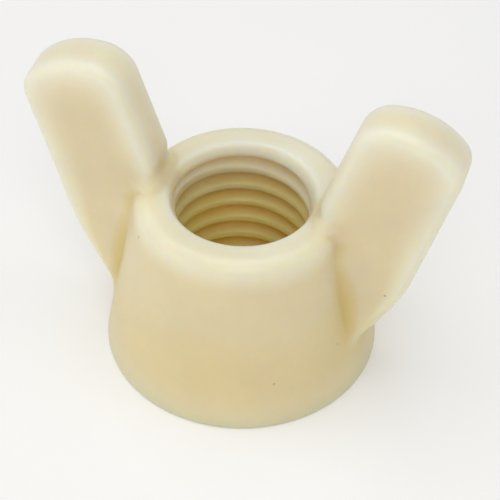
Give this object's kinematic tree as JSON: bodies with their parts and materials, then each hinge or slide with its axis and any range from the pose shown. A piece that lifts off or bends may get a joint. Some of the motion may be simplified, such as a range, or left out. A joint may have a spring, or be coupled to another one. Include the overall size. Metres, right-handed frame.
{
  "type": "wing nut",
  "caption": "Moulded nylon wing nut: a conical hub with a through thread and two solid wings that a thumb and a finger turn.",
  "frame": {"origin": "middle of the hub's flat underside, on the bore's axis", "axes": "+Z along the bore's axis, up from the flat underside towards the wing tips; +X through the middle of one wing"},
  "size_m": [0.0332, 0.0214, 0.0251],
  "materials": {
    "nylon": "satin natural nylon, ivory and slightly translucent"
  },
  "bodies": {
    "root": {"wing_nut": "nylon"}
  },
  "joints": []
}
